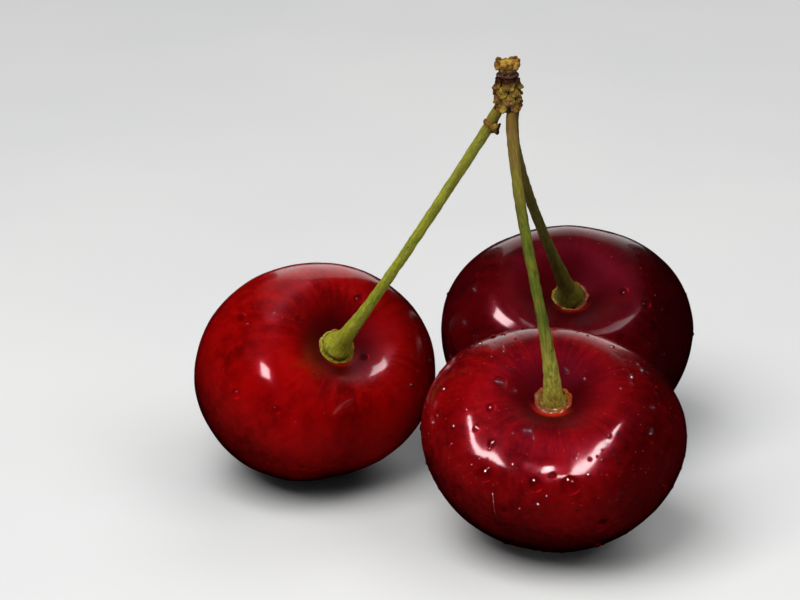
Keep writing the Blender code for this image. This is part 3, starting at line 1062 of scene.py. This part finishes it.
# The finest drops are too small to show a sharp reflection, so theirs is blurred a little, which widens it.
mist, tree, shader = new_finish("mist")
specks = noise(tree, add(tree, "TexCoord").outputs["Object"], 900.0, 1.0)
tint = mix(tree, level(tree, specks, 0.4, 0.6), (0.85, 0.22, 0.28, 1.0), (0.95, 0.50, 0.56, 1.0))
tree.links.new(tint, shader.inputs["Base Color"])
shader.inputs["Transmission Weight"].default_value = 0.995
shader.inputs["IOR"].default_value = 1.36
shader.inputs["Roughness"].default_value = 0.06
shader.inputs["Coat Weight"].default_value = 1.0
shader.inputs["Coat Roughness"].default_value = 0.11

# %% Domes to copy
DOME_HEIGHT = 0.80  # the flattened ball's half height, as a share of its radius
SUNK = 0.35  # how much of that half height lies in the skin


def dome(name, segments, rings):
    """A ball of radius one, flattened. Each point keeps how far it lies away from the light, towards -X."""
    bpy.ops.mesh.primitive_uv_sphere_add(segments=segments, ring_count=rings, radius=1.0)
    ball = bpy.context.active_object
    ball.name = ball.data.name = name
    bpy.ops.object.mode_set(mode="EDIT")
    bpy.ops.mesh.select_all(action="SELECT")
    bpy.ops.transform.resize(value=(1.0, 1.0, DOME_HEIGHT))
    bpy.ops.mesh.select_all(action="DESELECT")
    bpy.ops.object.mode_set(mode="OBJECT")
    bpy.ops.object.shade_smooth()
    away = ball.data.attributes.new("far_side", "FLOAT", "POINT")
    for vertex in ball.data.vertices:
        away.data[vertex.index].value = -vertex.co.x
    return ball


big_dome = dome("big_dome", 32, 16)
small_dome = dome("small_dome", 10, 6)
LIGHT_SIDE = Vector((-0.50, -0.45, 0.74))  # each drop is turned so that its +X points this way


def set_drop(side, turn, tilt, radius, pattern, stretch=1.0, slant=0.0):
    """Copies a dome onto the fruit's skin at this turn and tilt, with its radius in millimetres."""
    spot, facing = skin_at(side, turn, tilt)
    lit = (LIGHT_SIDE - facing * LIGHT_SIDE.dot(facing)).normalized()
    axes = Matrix((lit, facing.cross(lit), facing)).transposed().to_4x4()
    size = radius * MM
    longer = Matrix.Rotation(math.radians(slant), 4, "Z")
    shape = longer @ Matrix.Diagonal((size, size * stretch, size, 1.0)) @ longer.transposed()
    copy = bpy.data.objects.new(f"drop_{side}", pattern.data.copy())
    bpy.context.scene.collection.objects.link(copy)
    copy.matrix_world = Matrix.Translation(spot - facing * size * DOME_HEIGHT * SUNK) @ axes @ shape
    return copy


# %% The big drops
# turn, tilt and radius in millimetres; the beads are a short row of small drops
BEADS = tuple((40.0 + 5.0 * step, 45.0 - 1.5 * step, 0.18) for step in range(3))
BIG_DROPS = {
    "front": (
        (-90, 30, 0.80), (-60, 35, 0.60), (-35, 45, 0.60), (-50, 45, 0.60), (-30, 60, 1.00), (0, 55, 0.90),
        (20, 55, 1.10), (10, 50, 0.50), (55, 40, 0.35), (35, 45, 0.30), *BEADS, (110, 40, 0.50),
        (-65, 45, 0.40), (165, 20, 0.40), (-75, 60, 0.30), (-110, 50, 0.30), (-40, 75, 0.30),
        (-15, 75, 0.30), (-20, 80, 0.40), (55, 55, 0.30), (35, 80, 0.50), (35, 110, 0.40),
        (-130, 50, 0.35),
    ),
    "left": ((-120, 55, 0.6), (-80, 65, 0.6), (-60, 55, 0.5), (140, 30, 0.6), (50, 20, 0.6), (130, 25, 0.5)),
    "back": ((-95, 50, 0.7), (80, 30, 0.6), (70, 40, 0.6), (-75, 80, 0.8), (-95, 10, 0.7)),
}
SPRAY = {"front": 760, "left": 30, "back": 40}
SMALLEST_SPRAY = 0.07
SPRAY_SPREAD = 0.21
SKIPPED_IN_CAVITY = 0.55

chance = random.Random(7)
wets = []
for side, big_drops in BIG_DROPS.items():
    drops = []
    for turn, tilt, radius in big_drops:
        stretch, slant = chance.uniform(0.85, 1.2), chance.uniform(0, 180)
        drops.append(set_drop(side, turn, tilt, radius, big_dome, stretch, slant))
    spray = []
    while len(spray) < SPRAY[side]:
        turn, tilt = chance.uniform(-180, 180), math.degrees(math.acos(chance.uniform(-0.75, 0.93)))
        if tilt < 45 and chance.random() < SKIPPED_IN_CAVITY:
            continue
        radius = SMALLEST_SPRAY + SPRAY_SPREAD * chance.random() ** 2.0
        spray.append(set_drop(side, turn, tilt, radius, small_dome))
    for name, pieces, finish in (("drops", drops, water), ("spray", spray, mist)):
        select_only(*pieces)
        bpy.ops.object.join()
        wet = bpy.context.active_object
        wet.name = f"{name}_{side}"
        wets.append(hand_over(wet, finish, "water"))
        print(wet.name, "drops:", len(pieces), "faces:", len(wet.data.polygons))

select_only(big_dome, small_dome)
bpy.ops.object.delete()

# %% [markdown]
# ## Which lamp shines on what
#
# Every gloss box is now told which fruit it belongs to, and shines on it and on the rim round its stem. The
# lamp for the far rims shines on all three, and the two lamps for the water only on the drops.

# %% Lamps and their pieces
for name, lamp in gloss_lamps.items():
    sides = [side for side in LEANS if name.startswith(side)] or list(LEANS)
    pieces = [piece for side in sides for piece in (fruits[side], rims[side])]
    lit = bpy.data.collections.new(f"lit_by_{name}")
    for piece in wets if name.startswith("water") else pieces:
        lit.objects.link(piece)
    lamp.light_linking.receiver_collection = lit
print("lamps with their own pieces:", len(gloss_lamps))
